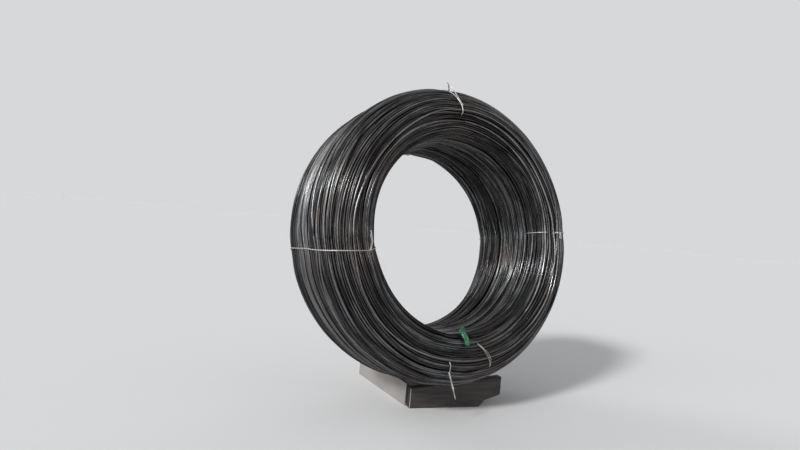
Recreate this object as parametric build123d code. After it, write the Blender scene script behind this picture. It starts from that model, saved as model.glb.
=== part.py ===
from build123d import *
from math import atan, cos, hypot, radians, sin, sqrt, tan
import os

# Sizes in millimetres. +X is to the right of the front end, +Y runs into the bore, +Z is up.
# The floor is at Z = 0, and the middle of the coil stands over the origin.

# Coil of wire, leaning back by so many degrees
coil_outer_r = 500.0
bore_r = 320.0
coil_width = 390.0
shoulder_r = 115.0
lip_r = 60.0
lean = 8.0

# Grooves between the bunches of turns, on the ends and the outside
groove_pitch = 26.0
groove_width = 9.0
groove_depth = 5.0

# Tie wires: round loops pulled in among the turns, their ends twisted together
tie_d = 3.0
tie_sunk = 2.5
tie_clearance = 0.3
slot_over = 1.0
twist_d = 5.6
bend_after = 5.0
wire_facets = 6

# Marker strip that lies over the front lip and ends clear of it. Places on the coil's section are
# measured along it from the front end of the bore's wall.
marker_angle = 270.8
marker_width = 11.0
marker_thickness = 1.2
marker_from = 63.0
marker_to = 77.0
marker_free = 33.0
marker_clearance = 0.6

# Short bright wire beside the strip, which swings away to the side as it goes outward
marker_tie_angle = 275.8
marker_tie_d = 2.5
marker_tie_from = 70.0
marker_tie_to = 152.0
marker_tie_swing = 47.0
marker_tie_steps = 8

# Rolled channel that the coil lies in, flanges up, its front end ahead of the coil's middle
channel_width = 200.0
channel_height = 75.0
channel_length = 360.0
channel_ahead = 55.0
flange_thickness = 11.5
web_thickness = 8.5
root_r = 11.5
toe_r = 6.0
seat_clearance = 0.3

# Wedge-shaped timber across the channel's front end, turned a little, with its top rising to the
# right to lie against the coil and its lower right corner broken off
block_length = 336.0
block_depth = 28.0
block_turn = 11.8
block_slope = 6.4
block_overlap = 6.0
break_length = 80.0
break_height = 42.0
chip_length = 20.0
chip_height = 22.0
block_edge_r = 2.0

# The shoulder and the lip are rounded as stated, or less where the coil is too thin for both.
coil_build = coil_outer_r - bore_r
most_rounding = 0.97
rounding = min(1.0, most_rounding * coil_build / (shoulder_r + lip_r))
shoulder = shoulder_r * rounding
lip = lip_r * rounding
shoulder_centre_r = coil_outer_r - shoulder
shoulder_off = coil_width / 2 - shoulder
lean_cos = cos(radians(lean))
lean_sin = sin(radians(lean))

# The channel's toes are two level rods, and the coil lies on them with its back shoulder, whose
# centre line is seen from the front as an ellipse. Its normal that runs through a toe's centre is
# found in a few steps, and gives the height of the coil's middle.
toe_x = channel_width / 2 - flange_thickness + toe_r
toe_z = channel_height - toe_r
seat_reach = shoulder + toe_r + seat_clearance
normal_length = 1.0
for _ in range(4):
    seat_across = toe_x / (shoulder_centre_r + seat_reach * lean_cos / normal_length)
    seat_down = sqrt(1 - seat_across**2)
    normal_length = hypot(lean_cos * seat_across, seat_down)
seat_drop = (shoulder_centre_r * lean_cos + seat_reach / normal_length) * seat_down
axis_z = toe_z + seat_drop + shoulder_off * lean_sin

# The timber's back corner meets the channel's end. Its back top edge comes nearest to the coil where
# the coil's underside is as steep as the edge, and its left end's height follows from that.
channel_front_y = -channel_ahead
block_back_x = block_overlap - channel_width / 2
block_back_y = channel_front_y - seat_clearance
rise = tan(radians(block_slope))
turn_cos = cos(radians(block_turn))
turn_sin = sin(radians(block_turn))
nearest_angle = atan((rise * lean_cos - turn_sin * lean_sin) / turn_cos)
nearest_x = coil_outer_r * sin(nearest_angle)
nearest_along = (nearest_x - block_back_x) / turn_cos
nearest_y = block_back_y - nearest_along * turn_sin
underside_z = axis_z - (nearest_y * lean_sin + coil_outer_r * cos(nearest_angle)) / lean_cos
block_left_height = underside_z - seat_clearance - nearest_along * rise
block_right_height = block_left_height + block_length * rise

# Where each tie stands round the coil and how far along the section its twist starts. The tips of the
# twist and of its two ends are measured from there: out of the coil, on along its section, and aside.
ties = {
    "tie_left": {
        "angle": 190.0,
        "twist_at": 74.0,
        "twist": (14.0, 3.0, -8.0),
        "ends": ((12.0, 1.0, -42.0), (16.0, 8.0, -30.0)),
    },
    "tie_top": {
        "angle": 95.7,
        "twist_at": 211.0,
        "twist": (18.0, -2.0, 13.0),
        "ends": ((27.0, 0.0, 20.0), (14.0, -80.0, -10.0)),
    },
    "tie_right": {
        "angle": 4.0,
        "twist_at": 104.0,
        "twist": (10.0, 6.0, -2.0),
        "ends": ((13.0, 2.0, -22.0), (10.0, 12.0, -25.0)),
    },
    "tie_bottom": {
        "angle": 262.2,
        "twist_at": 164.5,
        "twist": (28.0, 34.0, 24.0),
        "ends": ((53.0, 52.0, 40.0), (35.0, 40.0, 30.0)),
    },
}


def section_path(grow=0.0):
    # From the front end of the bore's wall, round the outside, to its back end.
    half = coil_width / 2 + grow
    inner = bore_r - grow
    outer = coil_outer_r + grow
    front_lip = JernArc((inner, lip + grow - half), (0, -1), lip + grow, 90)
    front = Line(front_lip @ 1, (shoulder_centre_r, -half))
    front_shoulder = JernArc(front @ 1, (1, 0), shoulder + grow, 90)
    outside = Line(front_shoulder @ 1, (outer, half - shoulder - grow))
    back_shoulder = JernArc(outside @ 1, (0, 1), shoulder + grow, 90)
    back = Line(back_shoulder @ 1, (bore_r + lip, half))
    back_lip = JernArc(back @ 1, (-1, 0), lip + grow, 90)
    return Wire([front_lip, front, front_shoulder, outside, back_shoulder, back, back_lip])


def section_loop(grow=0.0):
    path = section_path(grow)
    return Wire(path.edges() + [Line(path @ 1, path @ 0)])


def on_section(distance, out=0.0, aside=0.0):
    path = section_path()
    share = distance / path.length
    outward = (path % share).rotate(Axis.Z, -90)
    return path @ share + outward * out + Vector(0, 0, aside)


def around_coil(shape, angle):
    # The section is drawn on the coil's right, and angles run anticlockwise seen from the front.
    return Pos(0, 0, axis_z) * Rot(-lean, 0, 0) * Rot(0, -angle, 0) * shape


def grooved_profile():
    length = section_path().length
    pitch = length / round(length / groove_pitch)
    points = [on_section(0)]
    middle = pitch / 2
    while middle < length:
        points.append(on_section(middle - groove_width / 2))
        points.append(on_section(middle, -groove_depth))
        points.append(on_section(middle + groove_width / 2))
        middle += pitch
    points.append(on_section(length))
    return make_face(Polyline(*points, close=True))


def tie_slot(angle):
    depth = tie_sunk + tie_d + tie_clearance
    band = make_face(section_loop(slot_over)) - make_face(section_loop(-depth))
    return around_coil(extrude(band, tie_d / 2 + tie_clearance, both=True), angle)


def make_coil():
    coil = around_coil(revolve(grooved_profile(), Axis.Y), 0)
    for tie in ties.values():
        coil -= tie_slot(tie["angle"])
    return coil


def make_wire(path, diameter):
    start = Plane(origin=path @ 0, z_dir=path % 0)
    outline = start * RegularPolygon(diameter / 2, wire_facets)
    return sweep(outline, path, transition=Transition.RIGHT)


def make_tie(angle, twist_at, twist, ends):
    sunk = -tie_sunk - tie_d / 2
    root = on_section(twist_at, sunk)
    foot = on_section(twist_at, twist_d / 2 + tie_clearance)
    top, *tips = [on_section(twist_at + onward, out, aside) for out, onward, aside in (twist, *ends)]
    bend = top + (top - foot).normalized() * bend_after
    tie = make_wire(section_loop(sunk), tie_d)
    tie += make_wire(Wire([Line(root, foot)]), tie_d)
    tie += make_wire(Wire([Line(foot, top)]), twist_d)
    for tip in tips:
        tie += make_wire(Wire([Line(top, bend), Line(bend, tip)]), tie_d)
    return around_coil(tie, angle)


def marker_side(out):
    path = section_path(out)
    lying = path.trim(marker_from / path.length, marker_to / path.length)
    free_end = lying @ 0 - (lying % 0) * marker_free
    return [Line(free_end, lying @ 0)] + lying.edges()


def make_marker():
    under = Wire(marker_side(marker_clearance))
    over = Wire(marker_side(marker_clearance + marker_thickness))
    ends = [Line(under @ 0, over @ 0), Line(under @ 1, over @ 1)]
    strip = make_face(Wire(under.edges() + over.edges() + ends))
    return around_coil(extrude(strip, marker_width / 2, both=True), marker_angle)


def make_marker_tie():
    points = []
    for step in range(marker_tie_steps + 1):
        share = step / marker_tie_steps
        distance = marker_tie_from + (marker_tie_to - marker_tie_from) * share
        aside = marker_tie_swing * sin(radians(90 * share))
        points.append(on_section(distance, marker_clearance + marker_tie_d / 2, aside))
    return around_coil(make_wire(Polyline(*points), marker_tie_d), marker_tie_angle)


def make_channel():
    inner_width = channel_width - 2 * flange_thickness
    outside = Rectangle(channel_width, channel_height, align=(Align.CENTER, Align.MIN))
    trough = Pos(0, web_thickness) * Rectangle(inner_width, channel_height, align=(Align.CENTER, Align.MIN))
    profile = outside - trough
    corners = profile.vertices().filter_by_position(Axis.X, -inner_width / 2 - 1, inner_width / 2 + 1)
    profile = fillet(corners.group_by(Axis.Y)[0], root_r)
    inner_corners = profile.vertices().filter_by_position(Axis.X, -inner_width / 2 - 1, inner_width / 2 + 1)
    profile = fillet(inner_corners.group_by(Axis.Y)[-1], toe_r)
    upright = Plane(origin=(0, channel_front_y, 0), x_dir=(1, 0, 0), z_dir=(0, -1, 0))
    return extrude(upright * profile, -channel_length)


def make_block():
    break_start = block_length - break_length
    outline = Polyline(
        (0, 0),
        (break_start, 0),
        (break_start + chip_length, chip_height),
        (block_length, break_height),
        (block_length, block_right_height),
        (0, block_left_height),
        close=True,
    )
    block = extrude(Plane.XZ * make_face(outline), block_depth)
    block = fillet(block.edges().filter_by(Axis.Y), block_edge_r)
    return Pos(block_back_x, block_back_y, 0) * Rot(0, 0, -block_turn) * block


def main():
    os.makedirs("parts", exist_ok=True)
    solids = {"wire_coil": make_coil(), "trough_channel": make_channel(), "end_block": make_block()}
    for name, tie in ties.items():
        solids[name] = make_tie(**tie)
    solids["marker_strip"] = make_marker()
    solids["marker_tie"] = make_marker_tie()
    for name, solid in solids.items():
        export_step(solid, f"parts/{name}.step")


main()
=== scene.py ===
import bpy
import math
import numpy as np
from mathutils import Matrix, Vector


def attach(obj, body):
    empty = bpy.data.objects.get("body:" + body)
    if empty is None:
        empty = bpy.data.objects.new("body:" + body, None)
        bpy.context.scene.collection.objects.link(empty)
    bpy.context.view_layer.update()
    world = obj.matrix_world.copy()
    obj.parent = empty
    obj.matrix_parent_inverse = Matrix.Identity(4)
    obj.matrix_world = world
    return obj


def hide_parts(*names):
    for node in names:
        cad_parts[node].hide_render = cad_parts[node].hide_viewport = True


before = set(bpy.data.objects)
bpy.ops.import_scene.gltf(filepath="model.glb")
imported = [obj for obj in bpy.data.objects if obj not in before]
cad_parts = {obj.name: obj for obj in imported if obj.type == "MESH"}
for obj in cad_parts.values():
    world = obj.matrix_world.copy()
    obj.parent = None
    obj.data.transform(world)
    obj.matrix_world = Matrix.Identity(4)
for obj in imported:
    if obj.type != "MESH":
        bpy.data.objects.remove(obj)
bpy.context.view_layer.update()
print("frame loaded")

# The coil's section, in metres: the same rounded outline as the solid, leaning back as it does
coil = {
    "axisZ": 0.57389,
    "lean": 8.0,
    "outerR": 0.5,
    "boreR": 0.32,
    "width": 0.39,
    "shoulderR": 0.11474,
    "lipR": 0.05986,
    "arcSteps": 40,
}


def deselectAll():
    if bpy.context.mode != "OBJECT":
        bpy.ops.object.mode_set(mode="OBJECT")
    bpy.ops.object.select_all(action="DESELECT")


def traceSection():
    # Arc by arc, from the middle of the bore's wall round the front, the outside and the back
    half = coil["width"] / 2
    lip = coil["lipR"]
    shoulder = coil["shoulderR"]
    lipX = coil["boreR"] + lip
    shoulderX = coil["outerR"] - shoulder
    corners = [
        (lipX, lip - half, lip, math.pi),
        (shoulderX, shoulder - half, shoulder, 1.5 * math.pi),
        (shoulderX, half - shoulder, shoulder, 0.0),
        (lipX, half - lip, lip, 0.5 * math.pi),
    ]
    rows = [(coil["boreR"], 0.0, -1.0, 0.0)]
    for centreX, centreY, radius, start in corners:
        for angle in np.linspace(start, start + math.pi / 2, coil["arcSteps"]):
            outX, outY = math.cos(angle), math.sin(angle)
            rows.append((centreX + radius * outX, centreY + radius * outY, outX, outY))
    rows.append(rows[0])
    rows = np.array(rows)
    steps = np.hypot(np.diff(rows[:, 0]), np.diff(rows[:, 1]))
    return np.concatenate([[0.0], np.cumsum(steps)]), rows


sectionAt, sectionRows = traceSection()
sectionLength = sectionAt[-1]


def onSection(place):
    # Distance from the axis, distance along it, and the way out of the coil
    place = np.mod(place, sectionLength)
    return [np.interp(place, sectionAt, column) for column in sectionRows.T]


def leanBack(across, along, up):
    # From the coil's own axis and up direction to where the coil lies
    lean = math.radians(coil["lean"])
    behind = along * math.cos(lean) + up * math.sin(lean)
    height = coil["axisZ"] - along * math.sin(lean) + up * math.cos(lean)
    return across, behind, height


def aroundCoil(angle, fromAxis, along, side=0.0):
    across = math.cos(angle) * fromAxis - math.sin(angle) * side
    up = math.sin(angle) * fromAxis + math.cos(angle) * side
    return Vector(leanBack(across, along, up))


# The tie wires: where each stands round the coil, in degrees, and where on the section its twist
# starts. The tips of the twist and of its ends are measured from there: out of the coil, on along its
# section, and aside. Then the stretches of the loop that lie on top, and how it drifts aside.
ties = {
    "tie_left": {
        "angle": 190.0,
        "foot": 0.2091,
        "twist": (0.014, 0.003, -0.008),
        "turns": 2,
        "ends": ((0.012, 0.001, -0.042), (0.016, 0.008, -0.030)),
        "shown": ((0.02, 0.97),),
        "drift": (
            (0.12, 0.004), (0.209, 0.0155), (0.223, 0.015),
            (0.445, -0.0140), (0.60, -0.0235), (0.74, -0.004),
        ),
    },
    "tie_top": {
        "angle": 95.7,
        "foot": 0.3461,
        "twist": (0.018, -0.002, 0.013),
        "turns": 2,
        "ends": ((0.0265, 0.000, 0.020), (0.004, -0.080, -0.0115)),
        "shown": ((0.236, 0.86),),
        "drift": (
            (0.20, 0.0), (0.234, -0.009), (0.264, -0.012),
            (0.292, -0.0065), (0.346, 0.004), (0.60, 0.003),
        ),
    },
    "tie_right": {
        "angle": 4.0,
        "foot": 0.2391,
        "twist": (0.010, 0.006, -0.002),
        "turns": 2,
        "ends": ((0.013, 0.002, -0.022), (0.010, 0.012, -0.025)),
        "shown": ((0.112, 0.205), (0.28, 0.84)),
        "drift": ((0.10, 0.002), (0.239, 0.0), (0.50, 0.0)),
    },
    "tie_bottom": {
        "angle": 262.2,
        "foot": 0.2996,
        "twist": (0.028, 0.034, 0.024),
        "turns": 3,
        "ends": ((0.050, 0.048, 0.038), (0.033, 0.039, 0.029)),
        "shown": ((0.262, 0.306), (0.50, 0.86)),
        "drift": ((0.232, -0.018), (0.262, -0.010), (0.2996, 0.0), (0.60, 0.0)),
    },
}
tieWire = {
    "r": 0.0015,
    "lift": -0.0012,
    "buried": -0.0225,
    "blend": 0.008,
    "twistR": 0.0014,
    "bend": 0.2,
    "loopSteps": 240,
    "twistSteps": 8,
    "endSteps": 8,
}

# The turns: wire size, how they lie in bunches and layers, how far they wander round the coil, and
# how the ties pull them together
turns = {
    "wireR": 0.0031,
    "around": 128,
    "sides": 6,
    "seed": 8,
    "layers": (0.0012, 0.0112),
    "bunch": (3, 7),
    "spacing": (0.0063, 0.0080),
    "gap": (0.0022, 0.0078),
    "bunchDepth": 0.0034,
    "bunchSway": 0.0034,
    "bunchTone": 0.6,
    "ownSway": 0.0015,
    "ownDip": 0.0009,
    "sharedSway": 0.0048,
    "tieGrip": 0.72,
    "tieReach": 0.26,
    "pinch": 0.0030,
    "pinchReach": 0.08,
    "grainR": 0.42,
    "grainSpread": 90,
}

# How neighbours lean the same way: strength, waves round the coil, shift along the section, start
layWaves = ((0.7, 1, 7.0, 0.8), (0.45, 2, -11.0, 2.1), (0.3, 3, 16.0, 4.4))

# Single turns that lie over the others and cross them
strays = {"count": 44, "sway": 0.0125, "dip": 0.0012}

# Turns that have worked loose on the right of the face: the angles between which each lies on top,
# and where it lies on the section at some angles
looseTurns = {
    "shown": (-32, 74),
    "blend": 24,
    "sunk": 0.0085,
    "lift": 0.0004,
    "sway": 0.0007,
    "smooth": 30,
    # Tones from the light end of the finish, part of the painted highlight on these turns
    "tone": (0.5, 1),
    "knots": (
        ((-20, 0.2330), (2.7, 0.2494), (30, 0.2700), (61.8, 0.2888), (100, 0.2700), (200, 0.2400)),
        ((-25, 0.1990), (3.8, 0.1932), (28, 0.1975), (50.4, 0.2001), (90, 0.2150), (210, 0.2200)),
        ((-40, 0.2560), (0, 0.2300), (25, 0.2210), (45, 0.2250), (110, 0.2500), (220, 0.2300)),
    ),
}


def modelTurn():
    # One turn of round wire, from which every other one is copied
    deselectAll()
    bpy.ops.mesh.primitive_torus_add(
        major_segments=turns["around"],
        minor_segments=turns["sides"],
        major_radius=1.0,
        minor_radius=0.1,
        location=(0, 0, 0),
    )
    turn = bpy.context.object
    turn.name = "turn"
    corners = np.empty(len(turn.data.vertices) * 3)
    turn.data.vertices.foreach_get("co", corners)
    corners = corners.reshape(-1, 3)
    faces = np.empty(len(turn.data.polygons) * 4, int)
    turn.data.polygons.foreach_get("vertices", faces)
    around = np.arctan2(corners[:, 1], corners[:, 0])
    ring = np.hypot(corners[:, 0], corners[:, 1]) - 1.0
    across = np.arctan2(corners[:, 2], ring)
    bpy.data.objects.remove(turn)
    return around, across, faces.reshape(-1, 4)


def fromTies(around):
    # How far round the coil the nearest tie is, as an angle
    away = np.full_like(around, math.pi)
    for tie in ties.values():
        gap = np.abs(np.mod(around - math.radians(tie["angle"]) + math.pi, 2 * math.pi) - math.pi)
        away = np.minimum(away, gap)
    return away


def sway(rng, around, reach, waves):
    # A slow wander that meets itself again after one turn
    drift = np.zeros_like(around)
    for n in range(1, waves + 1):
        size = reach * rng.normal() / math.sqrt(n)
        drift += size * np.sin(n * around + rng.uniform(0, 2 * math.pi))
    return drift


def sharedSway(around, place):
    # Neighbouring turns lean the same way, as they were laid
    drift = np.zeros_like(around)
    for strength, waves, shift, start in layWaves:
        drift += strength * np.sin(waves * around + shift * place + start)
    return turns["sharedSway"] * drift


# Tables for the whole way round: the angle, what the ties leave of the wander, and how deep they pull
tableAround = np.linspace(0, 2 * math.pi, 721)
grip = 1 - turns["tieGrip"] * np.exp(-(fromTies(tableAround) / turns["tieReach"]) ** 2)
pinch = turns["pinch"] * np.exp(-(fromTies(tableAround) / turns["pinchReach"]) ** 2)


def planLayer(rng, layerDepth):
    # Bunches of a few turns side by side, with a gap before the next bunch
    plan = []
    place = 0.0
    shared = turns["bunchTone"]
    while place < sectionLength - turns["wireR"]:
        bunchSway = sway(rng, tableAround, turns["bunchSway"], 4)
        bunchDepth = rng.uniform(0, turns["bunchDepth"])
        bunchTone = rng.uniform()
        for _ in range(rng.integers(*turns["bunch"])):
            ownSway = sway(rng, tableAround, turns["ownSway"], 6)
            dip = np.abs(sway(rng, tableAround, turns["ownDip"], 5))
            wander = bunchSway + ownSway + sharedSway(tableAround, place)
            plan.append({
                "place": place,
                "at": place + wander * grip,
                "depth": layerDepth + bunchDepth + dip + pinch,
                "tone": shared * bunchTone + (1 - shared) * rng.uniform(),
            })
            place += rng.uniform(*turns["spacing"])
        place += rng.uniform(*turns["gap"])
    return plan


def planStrays(rng):
    plan = []
    for place in np.sort(rng.uniform(0, sectionLength, strays["count"])):
        wander = sway(rng, tableAround, strays["sway"], 3) + sharedSway(tableAround, place)
        dip = np.abs(sway(rng, tableAround, strays["dip"], 5))
        at = place + wander * grip
        plan.append({"place": place, "at": at, "depth": dip + pinch, "tone": rng.uniform()})
    return plan


def planLoose(rng):
    # On top between the shown angles, and sinking among the other turns past them
    plan = []
    low, high = looseTurns["shown"]
    away = np.abs(np.mod(np.degrees(tableAround) - (low + high) / 2 + 180, 360) - 180)
    under = np.clip((away - (high - low) / 2) / looseTurns["blend"], 0, 1)
    reach = looseTurns["smooth"]
    average = np.ones(2 * reach + 1) / (2 * reach + 1)
    for knots in looseTurns["knots"]:
        angles, places = zip(*knots)
        at = np.interp(tableAround, np.radians(angles), places, period=2 * math.pi)
        at = np.convolve(np.concatenate([at[-reach - 1:-1], at, at[1:reach + 1]]), average, mode="valid")
        at += sway(rng, tableAround, looseTurns["sway"], 6)
        depth = pinch - looseTurns["lift"] + looseTurns["sunk"] * under
        plan.append({"place": at[0], "at": at, "depth": depth, "tone": rng.uniform(*looseTurns["tone"])})
    return plan


def layTurn(base, lay):
    around, across, _ = base
    grid = np.mod(around, 2 * math.pi)
    place = np.interp(grid, tableAround, lay["at"])
    depth = np.interp(grid, tableAround, lay["depth"])
    fromAxis, along, outX, outY = onSection(place)
    wireR = turns["wireR"]
    rise = wireR * np.cos(across) - wireR - depth
    side = wireR * np.sin(across)
    radius = fromAxis + outX * rise - outY * side
    along = along + outY * rise + outX * side
    return np.stack(leanBack(radius * np.cos(around), along, radius * np.sin(around)), axis=1)


def joinTurns(name, base, plan, rng):
    # All the turns of one plan as one piece, each with its own tone and its own place in the grain
    around, _, faces = base
    grain = np.stack([np.cos(around), np.sin(around)], axis=1) * turns["grainR"]
    corners = []
    quads = []
    tones = []
    places = []
    for lay in plan:
        points = layTurn(base, lay)
        quads.append(faces[:, ::-1] + len(corners) * len(points))
        corners.append(points)
        tones.append(np.full(len(points), lay["tone"]))
        mark = np.full((len(points), 1), rng.uniform(0, turns["grainSpread"]))
        places.append(np.hstack([grain, mark]))
    corners = np.concatenate(corners)
    quads = np.concatenate(quads)
    mesh = bpy.data.meshes.new(name)
    mesh.vertices.add(len(corners))
    mesh.vertices.foreach_set("co", corners.ravel())
    mesh.loops.add(quads.size)
    mesh.loops.foreach_set("vertex_index", quads.ravel())
    mesh.polygons.add(len(quads))
    mesh.polygons.foreach_set("loop_start", np.arange(0, quads.size, 4))
    mesh.polygons.foreach_set("use_smooth", np.ones(len(quads), bool))
    tone = mesh.attributes.new("turnTone", "FLOAT", "POINT")
    tone.data.foreach_set("value", np.concatenate(tones))
    place = mesh.attributes.new("wirePlace", "FLOAT_VECTOR", "POINT")
    place.data.foreach_set("vector", np.concatenate(places).ravel())
    mesh.update(calc_edges=True)
    mesh.validate()
    piece = bpy.data.objects.new(name, mesh)
    bpy.context.scene.collection.objects.link(piece)
    print(name, len(plan), "turns")
    return piece


# The turns deeper in the coil, seen only between the outer ones
innerTurns = {"depth": 0.0185, "ripple": 0.0024, "points": 264, "around": 96, "merge": 0.0001}


def modelInnerTurns():
    deselectAll()
    count = innerTurns["points"]
    bpy.ops.mesh.primitive_circle_add(vertices=count, radius=0.1, location=(0, 0, 0))
    inner = bpy.context.object
    inner.name = "turns_inside"
    for i, vertex in enumerate(inner.data.vertices):
        fromAxis, along, outX, outY = onSection(sectionLength * i / count)
        depth = innerTurns["depth"] + (innerTurns["ripple"] if i % 2 else 0.0)
        vertex.co = (fromAxis - outX * depth, along - outY * depth, 0)
    bpy.ops.object.mode_set(mode="EDIT")
    bpy.ops.mesh.select_all(action="SELECT")
    bpy.ops.mesh.spin(steps=innerTurns["around"], angle=2 * math.pi, center=(0, 0, 0), axis=(0, 1, 0))
    bpy.ops.mesh.select_all(action="SELECT")
    bpy.ops.mesh.remove_doubles(threshold=innerTurns["merge"])
    bpy.ops.mesh.normals_make_consistent(inside=False)
    bpy.ops.object.mode_set(mode="OBJECT")
    inner.rotation_euler = (-math.radians(coil["lean"]), 0, 0)
    inner.location = (0, 0, coil["axisZ"])
    bpy.ops.object.transform_apply(location=True, rotation=True, scale=True)
    bpy.ops.object.shade_smooth()
    return inner


def wireCurve(name, points, radius):
    data = bpy.data.curves.new(name, "CURVE")
    data.dimensions = "3D"
    data.bevel_depth = radius
    data.bevel_resolution = 2
    data.use_fill_caps = True
    spline = data.splines.new("POLY")
    spline.points.add(len(points) - 1)
    for point, knot in zip(points, spline.points):
        knot.co = (*point, 1.0)
    piece = bpy.data.objects.new(name, data)
    bpy.context.scene.collection.objects.link(piece)
    deselectAll()
    piece.select_set(True)
    bpy.context.view_layer.objects.active = piece
    bpy.ops.object.convert(target="MESH")
    bpy.ops.object.shade_smooth()
    return bpy.context.object


def bendTo(start, heading, end):
    # A smooth free end: it leaves along the twist and bends over to its tip
    middle = start + heading * (end - start).length * tieWire["bend"]
    points = []
    for i in range(1, tieWire["endSteps"] + 1):
        t = i / tieWire["endSteps"]
        points.append(start * (1 - t) ** 2 + middle * 2 * t * (1 - t) + end * t**2)
    return points


def tieLift(size, place):
    # On top of the turns where it shows, and pulled in between them elsewhere
    inside = max(min(place - low, high - place) for low, high in size["shown"]) / tieWire["blend"]
    share = max(0.0, min(1.0, 0.5 + inside / 2))
    return tieWire["buried"] + (tieWire["lift"] - tieWire["buried"]) * share


def modelTie(name, size):
    angle = math.radians(size["angle"])
    driftAt, drift = zip(*size["drift"])

    def offSection(place, out, aside=0.0):
        fromAxis, along, outX, outY = onSection(place)
        return aroundCoil(angle, fromAxis + outX * out, along + outY * out, aside)

    def onLoop(share):
        # Once round the section from the foot of the twist
        place = size["foot"] + sectionLength * share
        aside = np.interp(place, driftAt, drift, period=sectionLength)
        return offSection(place, tieLift(size, np.mod(place, sectionLength)), aside)

    foot = onLoop(0)
    out, onward, aside = size["twist"]
    top = offSection(size["foot"] + onward, out, aside)
    heading = (top - foot).normalized()
    sideA = heading.orthogonal().normalized()
    sideB = heading.cross(sideA)
    steps = tieWire["twistSteps"] * size["turns"]
    legs = []
    for phase in (0.0, math.pi):
        leg = []
        for i in range(steps + 1):
            turn = phase + 2 * math.pi * size["turns"] * i / steps
            swing = (sideA * math.cos(turn) + sideB * math.sin(turn)) * tieWire["twistR"]
            leg.append(foot.lerp(top, i / steps) + swing)
        legs.append(leg)
    for leg, (out, onward, aside) in zip(legs, size["ends"]):
        leg += bendTo(leg[-1], heading, offSection(size["foot"] + onward, out, aside))
    loop = [onLoop(i / tieWire["loopSteps"]) for i in range(1, tieWire["loopSteps"])]
    return wireCurve(name, legs[0][::-1] + loop + legs[1], tieWire["r"])


# A short doubled wire on the lower right of the face, which swings away as it goes outward
markerTie = {
    "r": 0.0009,
    "angle": 275.8,
    "places": (0.2051, 0.2871),
    "swing": 0.047,
    "bow": 0.0075,
    "lift": 0.0016,
    "steps": 24,
}


def modelMarkerTie():
    angle = math.radians(markerTie["angle"])
    low, high = markerTie["places"]
    lift = markerTie["lift"]
    outward = [i / markerTie["steps"] for i in range(markerTie["steps"] + 1)]
    path = []
    for bow, shares in ((0.0, outward), (markerTie["bow"], outward[::-1])):
        for t in shares:
            fromAxis, along, outX, outY = onSection(low + (high - low) * t)
            side = markerTie["swing"] * math.sin(math.pi / 2 * t) + bow * math.sin(math.pi * t)
            path.append(aroundCoil(angle, fromAxis + outX * lift, along + outY * lift, side))
    return wireCurve("marker_tie_wire", path, markerTie["r"])


# The green strip: it lies on the lip, stands clear of it at its top and hooks back in among the turns.
# Each point is an angle in degrees, a distance from the axis and a distance along it.
marker = {
    "width": 0.0225,
    "thick": 0.0011,
    "twist": 88.0,
    "curl": 0.0012,
    "curlWaves": 9,
    "waist": (0.75, 0.3, 3.1, 0.3),
    "points": (
        (269.4, 0.3585, -0.1945),
        (269.5, 0.3480, -0.1890),
        (269.6, 0.3360, -0.1815),
        (269.2, 0.3215, -0.1720),
        (268.6, 0.3100, -0.1640),
        (269.4, 0.3065, -0.1590),
        (271.2, 0.3080, -0.1570),
        (273.0, 0.3130, -0.1550),
    ),
}


def smoothPath(points, t):
    # A rounded line through the points, t from 0 to 1
    t = t * (len(points) - 1)
    i = min(int(t), len(points) - 2)
    t -= i
    before = points[max(i - 1, 0)]
    start = points[i]
    end = points[i + 1]
    after = points[min(i + 2, len(points) - 1)]
    lead = (end - before) / 2
    leave = (after - start) / 2
    point = start * (2 * t**3 - 3 * t**2 + 1) + lead * (t**3 - 2 * t**2 + t)
    return point + end * (3 * t**2 - 2 * t**3) + leave * (t**3 - t**2)


def modelMarker():
    deselectAll()
    bpy.ops.mesh.primitive_grid_add(x_subdivisions=36, y_subdivisions=4, size=2, location=(0, 0, 0))
    strip = bpy.context.object
    strip.name = "marker_strip_plastic"
    middle = [aroundCoil(math.radians(angle), *spot) for angle, *spot in marker["points"]]
    angle = math.radians(marker["points"][0][0])
    axisPoint = aroundCoil(angle, 0, 0)
    past = aroundCoil(angle, 0, 0, 1) - axisPoint
    inward = aroundCoil(angle, 0, 1) - axisPoint
    tipped = (inward + axisPoint - aroundCoil(angle, 1, 0)).normalized()
    start, swell, waves, narrowing = marker["waist"]
    for vertex in strip.data.vertices:
        t = (vertex.co.x + 1) / 2
        turn = math.radians(marker["twist"]) * t**2
        across = past * math.cos(turn) + tipped * math.sin(turn)
        width = marker["width"] / 2 * (start + swell * math.sin(waves * t) - narrowing * t**2)
        curl = marker["curl"] * math.sin(marker["curlWaves"] * t) * vertex.co.y**2
        vertex.co = smoothPath(middle, t) + across * vertex.co.y * width - inward * curl
    thick = strip.modifiers.new("thick", "SOLIDIFY")
    thick.thickness = marker["thick"]
    thick.offset = 0.0
    soft = strip.modifiers.new("soft", "SUBSURF")
    soft.levels = 1
    soft.render_levels = 1
    bpy.ops.object.modifier_apply(modifier="thick")
    bpy.ops.object.modifier_apply(modifier="soft")
    bpy.ops.object.mode_set(mode="EDIT")
    bpy.ops.mesh.select_all(action="SELECT")
    bpy.ops.mesh.normals_make_consistent(inside=False)
    bpy.ops.object.mode_set(mode="OBJECT")
    bpy.ops.object.shade_smooth()
    return strip


# The wedge-shaped timber across the channel's front end, drawn by the corners of its long side
timber = {
    "corners": (
        (0.0, 0.0),
        (0.256, 0.0),
        (0.276, 0.022),
        (0.336, 0.042),
        (0.336, 0.10433),
        (0.0, 0.06664),
    ),
    "depth": 0.028,
    "turn": -11.8,
    "backCorner": (-0.094, -0.0553),
    "edge": 0.0022,
    "longestEdge": 0.010,
    "splits": 5,
    "rough": 0.0011,
    "roughWaves": 7,
    "evenBelow": 0.01,
    "seed": 5,
}


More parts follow.
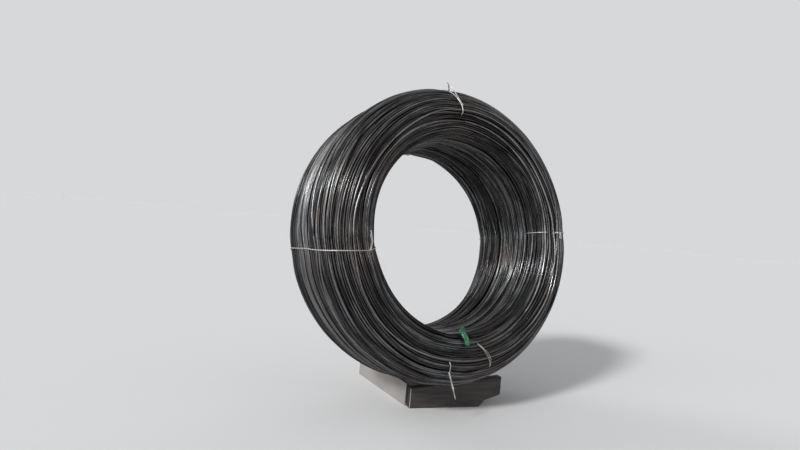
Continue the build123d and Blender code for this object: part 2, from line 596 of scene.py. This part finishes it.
def modelTimber():
    deselectAll()
    corners = timber["corners"]
    bpy.ops.mesh.primitive_circle_add(
        vertices=len(corners), radius=0.1, fill_type="NGON", location=(0, 0, 0),
    )
    wedge = bpy.context.object
    wedge.name = "end_timber"
    for vertex, (x, z) in zip(wedge.data.vertices, corners):
        vertex.co = (x, 0, z)
    bpy.ops.object.mode_set(mode="EDIT")
    bpy.ops.mesh.select_all(action="SELECT")
    bpy.ops.mesh.extrude_region_move(TRANSFORM_OT_translate={"value": (0, -timber["depth"], 0)})
    bpy.ops.mesh.select_all(action="SELECT")
    bpy.ops.mesh.normals_make_consistent(inside=False)
    bpy.ops.mesh.bevel(offset=timber["edge"], segments=2, affect="EDGES")
    bpy.ops.mesh.select_all(action="SELECT")
    bpy.ops.mesh.quads_convert_to_tris()
    for _ in range(timber["splits"]):
        bpy.ops.mesh.select_all(action="DESELECT")
        bpy.ops.object.mode_set(mode="OBJECT")
        for edge in wedge.data.edges:
            a, b = (wedge.data.vertices[i].co for i in edge.vertices)
            edge.select = (a - b).length > timber["longestEdge"]
        bpy.ops.object.mode_set(mode="EDIT")
        bpy.ops.mesh.select_mode(type="EDGE")
        bpy.ops.mesh.subdivide(number_cuts=1)
    bpy.ops.object.mode_set(mode="OBJECT")
    # Shallow dents, fading out towards the floor
    rng = np.random.default_rng(timber["seed"])
    count = timber["roughWaves"]
    waves = [(rng.uniform(20, 90), rng.uniform(0, 6.3), rng.uniform(80, 260)) for _ in range(count)]
    for vertex in wedge.data.vertices:
        x, y, z = vertex.co
        dent = sum(math.sin(a * x + b + c * z) * math.sin(c * y + b) for a, b, c in waves) / count
        hold = max(0.0, min(1.0, z / timber["evenBelow"]))
        vertex.co.y += timber["rough"] * dent * hold
        vertex.co.z -= timber["rough"] * abs(dent) * hold
    wedge.rotation_euler = (0, 0, math.radians(timber["turn"]))
    wedge.location = (*timber["backCorner"], 0)
    bpy.ops.object.transform_apply(location=True, rotation=True, scale=True)
    bpy.ops.object.shade_smooth_by_angle(angle=math.radians(35))
    return wedge


def newMaterial(name):
    material = bpy.data.materials.new(name)
    material.use_nodes = True
    nodes = material.node_tree.nodes
    shader = nodes["Principled BSDF"]
    return material, nodes, material.node_tree.links, shader


def feed(links, socket, value):
    # A socket takes either another node's output or a fixed value
    if isinstance(value, bpy.types.NodeSocket):
        links.new(value, socket)
    else:
        socket.default_value = value


def ramp(nodes, links, value, stops):
    node = nodes.new("ShaderNodeValToRGB")
    elements = node.color_ramp.elements
    while len(elements) < len(stops):
        elements.new(0.5)
    for element, (place, colour) in zip(elements, stops):
        element.position = place
        element.color = (*colour, 1.0)
    links.new(value, node.inputs["Fac"])
    return node.outputs["Color"]


def noise(nodes, links, vector, scale, detail, rough):
    node = nodes.new("ShaderNodeTexNoise")
    node.inputs["Scale"].default_value = scale
    node.inputs["Detail"].default_value = detail
    node.inputs["Roughness"].default_value = rough
    links.new(vector, node.inputs["Vector"])
    return node.outputs["Fac"]


def mix(nodes, links, factor, first, second):
    node = nodes.new("ShaderNodeMix")
    node.data_type = "RGBA"
    feed(links, node.inputs["Factor"], factor)
    links.new(first, node.inputs[6])
    node.inputs[7].default_value = (*second, 1)
    return node.outputs[2]


def maths(nodes, links, operation, *values):
    node = nodes.new("ShaderNodeMath")
    node.operation = operation
    for socket, value in zip(node.inputs, values):
        feed(links, socket, value)
    return node.outputs[0]


def spread(nodes, links, value, source, target):
    # Maps the source range to the target range
    node = nodes.new("ShaderNodeMapRange")
    links.new(value, node.inputs["Value"])
    node.inputs["From Min"].default_value = source[0]
    node.inputs["From Max"].default_value = source[1]
    node.inputs["To Min"].default_value = target[0]
    node.inputs["To Max"].default_value = target[1]
    return node.outputs["Result"]


def bump(nodes, links, shader, height, strength, distance):
    node = nodes.new("ShaderNodeBump")
    node.inputs["Strength"].default_value = strength
    node.inputs["Distance"].default_value = distance
    links.new(height, node.inputs["Height"])
    links.new(node.outputs["Normal"], shader.inputs["Normal"])


def attribute(nodes, name, output):
    node = nodes.new("ShaderNodeAttribute")
    node.attribute_name = name
    return node.outputs[output]


def objectPlace(nodes):
    return nodes.new("ShaderNodeTexCoord").outputs["Object"]


def splitPlace(nodes, links, place):
    node = nodes.new("ShaderNodeSeparateXYZ")
    links.new(place, node.inputs["Vector"])
    return node.outputs["X"], node.outputs["Y"], node.outputs["Z"]


# Drawn wire: dark, greasy grey, each turn a little different, some with a film of rust. The loose
# turns get a lighter copy of it, a painted highlight for the glints they catch.
wireFinish = {
    "dark": (0.012, 0.012, 0.0125),
    "grey": (0.0535, 0.054, 0.0555),
    "light": (0.181, 0.183, 0.187),
    "rust": (0.085, 0.055, 0.043),
}
# A lighter copy of the wire finish for the loose turns: a painted highlight for their glints
looseGlintFinish = {
    "dark": (0.035, 0.035, 0.035),
    "grey": (0.11, 0.109, 0.108),
    "light": (0.30, 0.297, 0.293),
    "rust": (0.10, 0.075, 0.06),
}
wireSurface = {
    "toneShare": 0.46,
    "toneStart": 0.16,
    "stops": (0.36, 0.62, 0.84),
    "rustPatch": (0.46, 0.72),
    "rustStreak": (0.40, 0.62),
    "rustMost": 0.6,
    "metal": 0.88,
    "roughness": (0.17, 0.34),
}


def wireMaterial(name, finish):
    material, nodes, links, shader = newMaterial(name)
    place = attribute(nodes, "wirePlace", "Vector")
    tone = attribute(nodes, "turnTone", "Fac")
    streak = noise(nodes, links, place, scale=6.0, detail=4.0, rough=0.62)
    patch = noise(nodes, links, objectPlace(nodes), scale=5.0, detail=4.0, rough=0.6)
    speck = noise(nodes, links, place, scale=90.0, detail=3.0, rough=0.7)
    level = maths(nodes, links, "MULTIPLY_ADD", tone, wireSurface["toneShare"], streak)
    level = maths(nodes, links, "SUBTRACT", level, wireSurface["toneStart"])
    colours = (finish["dark"], finish["grey"], finish["light"])
    steel = ramp(nodes, links, level, tuple(zip(wireSurface["stops"], colours)))
    patches = spread(nodes, links, patch, wireSurface["rustPatch"], (0.0, wireSurface["rustMost"]))
    streaks = spread(nodes, links, streak, wireSurface["rustStreak"], (0.2, 1.0))
    film = maths(nodes, links, "MULTIPLY", patches, streaks)
    links.new(mix(nodes, links, film, steel, finish["rust"]), shader.inputs["Base Color"])
    shader.inputs["Metallic"].default_value = wireSurface["metal"]
    gloss = spread(nodes, links, streak, (0.3, 0.75), wireSurface["roughness"])
    links.new(gloss, shader.inputs["Roughness"])
    bump(nodes, links, shader, speck, strength=0.04, distance=0.0006)
    return material


# Dull galvanised wire
tieFinish = {
    "colours": (
        (0.30, (0.22, 0.215, 0.21)),
        (0.55, (0.43, 0.43, 0.42)),
        (0.80, (0.64, 0.64, 0.63)),
    ),
    "metal": 0.55,
    "roughness": (0.30, 0.50),
}


def tieMaterial():
    material, nodes, links, shader = newMaterial("tieWireFinish")
    streak = noise(nodes, links, objectPlace(nodes), scale=60.0, detail=3.0, rough=0.6)
    links.new(ramp(nodes, links, streak, tieFinish["colours"]), shader.inputs["Base Color"])
    shader.inputs["Metallic"].default_value = tieFinish["metal"]
    gloss = spread(nodes, links, streak, (0.3, 0.7), tieFinish["roughness"])
    links.new(gloss, shader.inputs["Roughness"])
    bump(nodes, links, shader, streak, strength=0.2, distance=0.0004)
    return material


# Dirty green plastic
markerFinish = {
    "colours": (
        (0.34, (0.014, 0.068, 0.036)),
        (0.56, (0.030, 0.138, 0.070)),
        (0.76, (0.13, 0.32, 0.20)),
    ),
    "roughness": (0.55, 0.32),
}


def markerMaterial():
    material, nodes, links, shader = newMaterial("markerPlastic")
    dirt = noise(nodes, links, objectPlace(nodes), scale=75.0, detail=4.0, rough=0.6)
    links.new(ramp(nodes, links, dirt, markerFinish["colours"]), shader.inputs["Base Color"])
    gloss = spread(nodes, links, dirt, (0.3, 0.7), markerFinish["roughness"])
    links.new(gloss, shader.inputs["Roughness"])
    bump(nodes, links, shader, dirt, strength=0.25, distance=0.0008)
    return material


# The channel: pale paint under dust outside, and near black inside and on the flanges' tops, which is
# painted shade;
# it starts at these distances from its middle and from the floor
channelFinish = {
    "paint": (
        (0.30, (0.375, 0.38, 0.378)),
        (0.55, (0.460, 0.465, 0.463)),
        (0.80, (0.540, 0.545, 0.542)),
    ),
    "grime": (0.20, 0.17, 0.14),
    "worn": (0.12, 0.105, 0.095),
    "insideShade": (0.026, 0.024, 0.023),
    "shadeInsideX": (0.0975, 0.0992),
    "shadeInsideZ": (0.0070, 0.0086),
    "roughness": (0.78, 0.55),
}


def channelMaterial():
    material, nodes, links, shader = newMaterial("channelPaint")
    place = objectPlace(nodes)
    broad = noise(nodes, links, place, scale=11.0, detail=5.0, rough=0.6)
    fine = noise(nodes, links, place, scale=140.0, detail=4.0, rough=0.65)
    paint = ramp(nodes, links, broad, channelFinish["paint"])
    grime = spread(nodes, links, fine, (0.60, 0.76), (0.0, 0.7))
    dusty = mix(nodes, links, grime, paint, channelFinish["grime"])
    edges = nodes.new("ShaderNodeNewGeometry").outputs["Pointiness"]
    worn = spread(nodes, links, edges, (0.505, 0.56), (0.0, 0.75))
    outside = mix(nodes, links, worn, dusty, channelFinish["worn"])
    x, _, z = splitPlace(nodes, links, place)
    # Painted shade: near black inside the channel and on its flanges' tops
    within = spread(nodes, links, maths(nodes, links, "ABSOLUTE", x), channelFinish["shadeInsideX"], (1.0, 0.0))
    above = spread(nodes, links, z, channelFinish["shadeInsideZ"], (0.0, 1.0))
    shadedInside = maths(nodes, links, "MULTIPLY", within, above)
    links.new(mix(nodes, links, shadedInside, outside, channelFinish["insideShade"]), shader.inputs["Base Color"])
    gloss = spread(nodes, links, broad, (0.3, 0.7), channelFinish["roughness"])
    links.new(gloss, shader.inputs["Roughness"])
    bump(nodes, links, shader, fine, strength=0.3, distance=0.0008)
    return material


# Dark, oily wood. Its left end face is blackest: end grain with painted shade on it. The upright edge
# beside it is pale: rubbed wear with a painted highlight where it catches the light. Places are along the
# timber from its left end, and back from its front.
timberFinish = {
    "wood": (
        (0.28, (0.011, 0.0095, 0.0095)),
        (0.52, (0.024, 0.0195, 0.0183)),
        (0.78, (0.052, 0.0425, 0.0385)),
    ),
    "stretch": (5.0, 60.0, 60.0),
    "dirt": (0.031, 0.028, 0.027),
    "wornLitEdge": (0.30, 0.28, 0.26),
    "wornLitEdgeX": (0.0022, 0.0036),
    "wornLitEdgeY": (0.0012, 0.0022),
    "endGrainShade": (0.010, 0.009, 0.009),
    "endGrainShadeX": (0.0008, 0.0014),
    "roughness": (0.85, 0.6),
}


def timberMaterial():
    material, nodes, links, shader = newMaterial("blockTimber")
    place = objectPlace(nodes)
    local = nodes.new("ShaderNodeMapping")
    local.vector_type = "TEXTURE"
    local.inputs["Location"].default_value = (*timber["backCorner"], 0)
    local.inputs["Rotation"].default_value = (0, 0, math.radians(timber["turn"]))
    links.new(place, local.inputs["Vector"])
    lay = nodes.new("ShaderNodeMapping")
    lay.inputs["Scale"].default_value = timberFinish["stretch"]
    links.new(local.outputs["Vector"], lay.inputs["Vector"])
    grain = noise(nodes, links, lay.outputs["Vector"], scale=1.6, detail=6.0, rough=0.68)
    patch = noise(nodes, links, place, scale=16.0, detail=4.0, rough=0.6)
    wood = ramp(nodes, links, grain, timberFinish["wood"])
    dirt = spread(nodes, links, patch, (0.42, 0.68), (0.0, 0.6))
    faces = mix(nodes, links, dirt, wood, timberFinish["dirt"])
    x, y, _ = splitPlace(nodes, links, local.outputs["Vector"])
    # Painted highlight with some rubbed wear: pale along the upright front edge at the timber's left end
    front = [back - timber["depth"] for back in timberFinish["wornLitEdgeY"]]
    beside = spread(nodes, links, x, timberFinish["wornLitEdgeX"], (1.0, 0.0))
    ahead = spread(nodes, links, y, front, (1.0, 0.0))
    wornLitEdge = maths(nodes, links, "MULTIPLY", beside, ahead)
    edged = mix(nodes, links, wornLitEdge, faces, timberFinish["wornLitEdge"])
    # Painted shade on the end grain: the left end face near black
    endGrainShade = spread(nodes, links, x, timberFinish["endGrainShadeX"], (1.0, 0.0))
    links.new(mix(nodes, links, endGrainShade, edged, timberFinish["endGrainShade"]), shader.inputs["Base Color"])
    gloss = spread(nodes, links, grain, (0.3, 0.7), timberFinish["roughness"])
    links.new(gloss, shader.inputs["Roughness"])
    bump(nodes, links, shader, grain, strength=0.6, distance=0.0015)
    return material


def dress(piece, material, replaced):
    piece.data.materials.clear()
    piece.data.materials.append(material)
    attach(piece, "root")
    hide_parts(replaced)


# The coil is cut into pieces between bunches: the front one reaches a little way round the shoulder
frontReach = 0.0054
boreHalf = coil["width"] / 2 - coil["lipR"]
frontEnd = boreHalf + math.pi / 2 * (coil["lipR"] + coil["shoulderR"]) + frontReach
outsideEnd = frontEnd + coil["width"] - 2 * coil["shoulderR"]
backEnd = sectionLength - boreHalf
stretches = {
    "turns_bore_front": (0.0, boreHalf),
    "turns_front": (boreHalf, frontEnd),
    "turns_outside": (frontEnd, outsideEnd),
    "turns_back": (outsideEnd, backEnd),
    "turns_bore_back": (backEnd, sectionLength),
}

rng = np.random.default_rng(turns["seed"])
base = modelTurn()
plans = [planLayer(rng, depth) for depth in turns["layers"]] + [planStrays(rng)]
laid = sorted(sum(plans, []), key=lambda turn: turn["place"])
wire = wireMaterial("drawnWire", wireFinish)
for name, (low, high) in stretches.items():
    part = [turn for turn in laid if low <= turn["place"] < high]
    dress(joinTurns(name, base, part, rng), wire, "wire_coil")
dress(modelInnerTurns(), wire, "wire_coil")
loose = joinTurns("turns_loose", base, planLoose(rng), rng)
# The loose turns in the lighter copy of the wire finish, a painted highlight
dress(loose, wireMaterial("looseWireGlint", looseGlintFinish), "wire_coil")
print("turns laid")

tieSteel = tieMaterial()
for name, size in ties.items():
    dress(modelTie(name + "_wire", size), tieSteel, name)
dress(modelMarkerTie(), tieSteel, "marker_tie")
dress(modelMarker(), markerMaterial(), "marker_strip")
print("ties and marker made")

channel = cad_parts["trough_channel"]
channel.data.materials.clear()
channel.data.materials.append(channelMaterial())
dress(modelTimber(), timberMaterial(), "end_block")
print("channel and timber made")


# Floor, background and soft light from all round
room = {
    "floor": (0.58, 0.58, 0.585),
    "floorSize": 400,
    "floorZ": -0.0004,
    "shown": (0.681, 0.684, 0.6935),
    "sky": (0.97, 0.985, 1.0),
    "horizon": 0.30,
    "zenith": 0.48,
}


def makeFloor():
    deselectAll()
    bpy.ops.mesh.primitive_plane_add(size=room["floorSize"], location=(0, 0, room["floorZ"]))
    floor = bpy.context.object
    floor.name = "floor"
    material, nodes, links, shader = newMaterial("paleFloor")
    shader.inputs["Base Color"].default_value = (*room["floor"], 1)
    shader.inputs["Roughness"].default_value = 1.0
    shader.inputs["Specular IOR Level"].default_value = 0.0
    floor.data.materials.append(material)


def makeWorld():
    # The light is a little stronger from above. What the camera and the wires see of the room is a
    # plain pale background.
    world = bpy.data.worlds.new("room")
    bpy.context.scene.world = world
    world.use_nodes = True
    nodes = world.node_tree.nodes
    links = world.node_tree.links
    light = nodes["Background"]
    light.inputs["Color"].default_value = (*room["sky"], 1)
    way = nodes.new("ShaderNodeTexCoord").outputs["Generated"]
    _, _, up = splitPlace(nodes, links, way)
    level = spread(nodes, links, up, (0.0, 1.0), (room["horizon"], room["zenith"]))
    links.new(level, light.inputs["Strength"])
    shown = nodes.new("ShaderNodeBackground")
    shown.inputs["Color"].default_value = (*room["shown"], 1)
    rays = nodes.new("ShaderNodeLightPath").outputs
    seen = maths(nodes, links, "MAXIMUM", rays["Is Camera Ray"], rays["Is Glossy Ray"])
    pick = nodes.new("ShaderNodeMixShader")
    links.new(seen, pick.inputs["Fac"])
    links.new(light.outputs[0], pick.inputs[1])
    links.new(shown.outputs[0], pick.inputs[2])
    links.new(pick.outputs[0], nodes["World Output"].inputs["Surface"])


# Soft suns, which light the floor evenly: where each shines from, its strength and how wide it is
suns = {
    "backHigh": ((-2.6, 3.4, 2.8), 0.60, 26),
    "leftSoft": ((-0.79, -0.30, 0.55), 3.00, 9),
    "leftWide": ((-0.96, -0.26, 0.14), 1.60, 56),
    "frontLow": ((-0.48, -0.87, 0.07), 0.50, 16),
    "rightRim": ((2.6, 1.6, 1.4), 0.30, 40),
}


def addSun(name, source, strength, width):
    lamp = bpy.data.lights.new(name, "SUN")
    lamp.energy = strength
    lamp.angle = math.radians(width)
    holder = bpy.data.objects.new(name, lamp)
    bpy.context.scene.collection.objects.link(holder)
    holder.rotation_euler = Vector(source).to_track_quat("Z", "Y").to_euler()


# The focal length is in pixels of a picture this wide
camera = {
    "place": (-1.0168, -1.5250, 0.6077),
    "up": (-0.07799, 0.04767, 0.99581),
    "forward": (0.49435, 0.86926, -0.00290),
    "focal": 516,
    "picture": 800,
    "sensor": 36,
}


def makeCamera():
    data = bpy.data.cameras.new("camera")
    data.sensor_width = camera["sensor"]
    data.lens = camera["focal"] / camera["picture"] * camera["sensor"]
    holder = bpy.data.objects.new("camera", data)
    bpy.context.scene.collection.objects.link(holder)
    back = -Vector(camera["forward"]).normalized()
    up = Vector(camera["up"]).normalized()
    right = up.cross(back).normalized()
    up = back.cross(right)
    turn = Matrix((right, up, back)).transposed().to_4x4()
    holder.matrix_world = Matrix.Translation(camera["place"]) @ turn
    bpy.context.scene.camera = holder


makeFloor()
makeWorld()
for name, (source, strength, width) in suns.items():
    addSun(name, source, strength, width)
makeCamera()
bpy.context.scene.view_settings.view_transform = "Standard"
print("stage set")
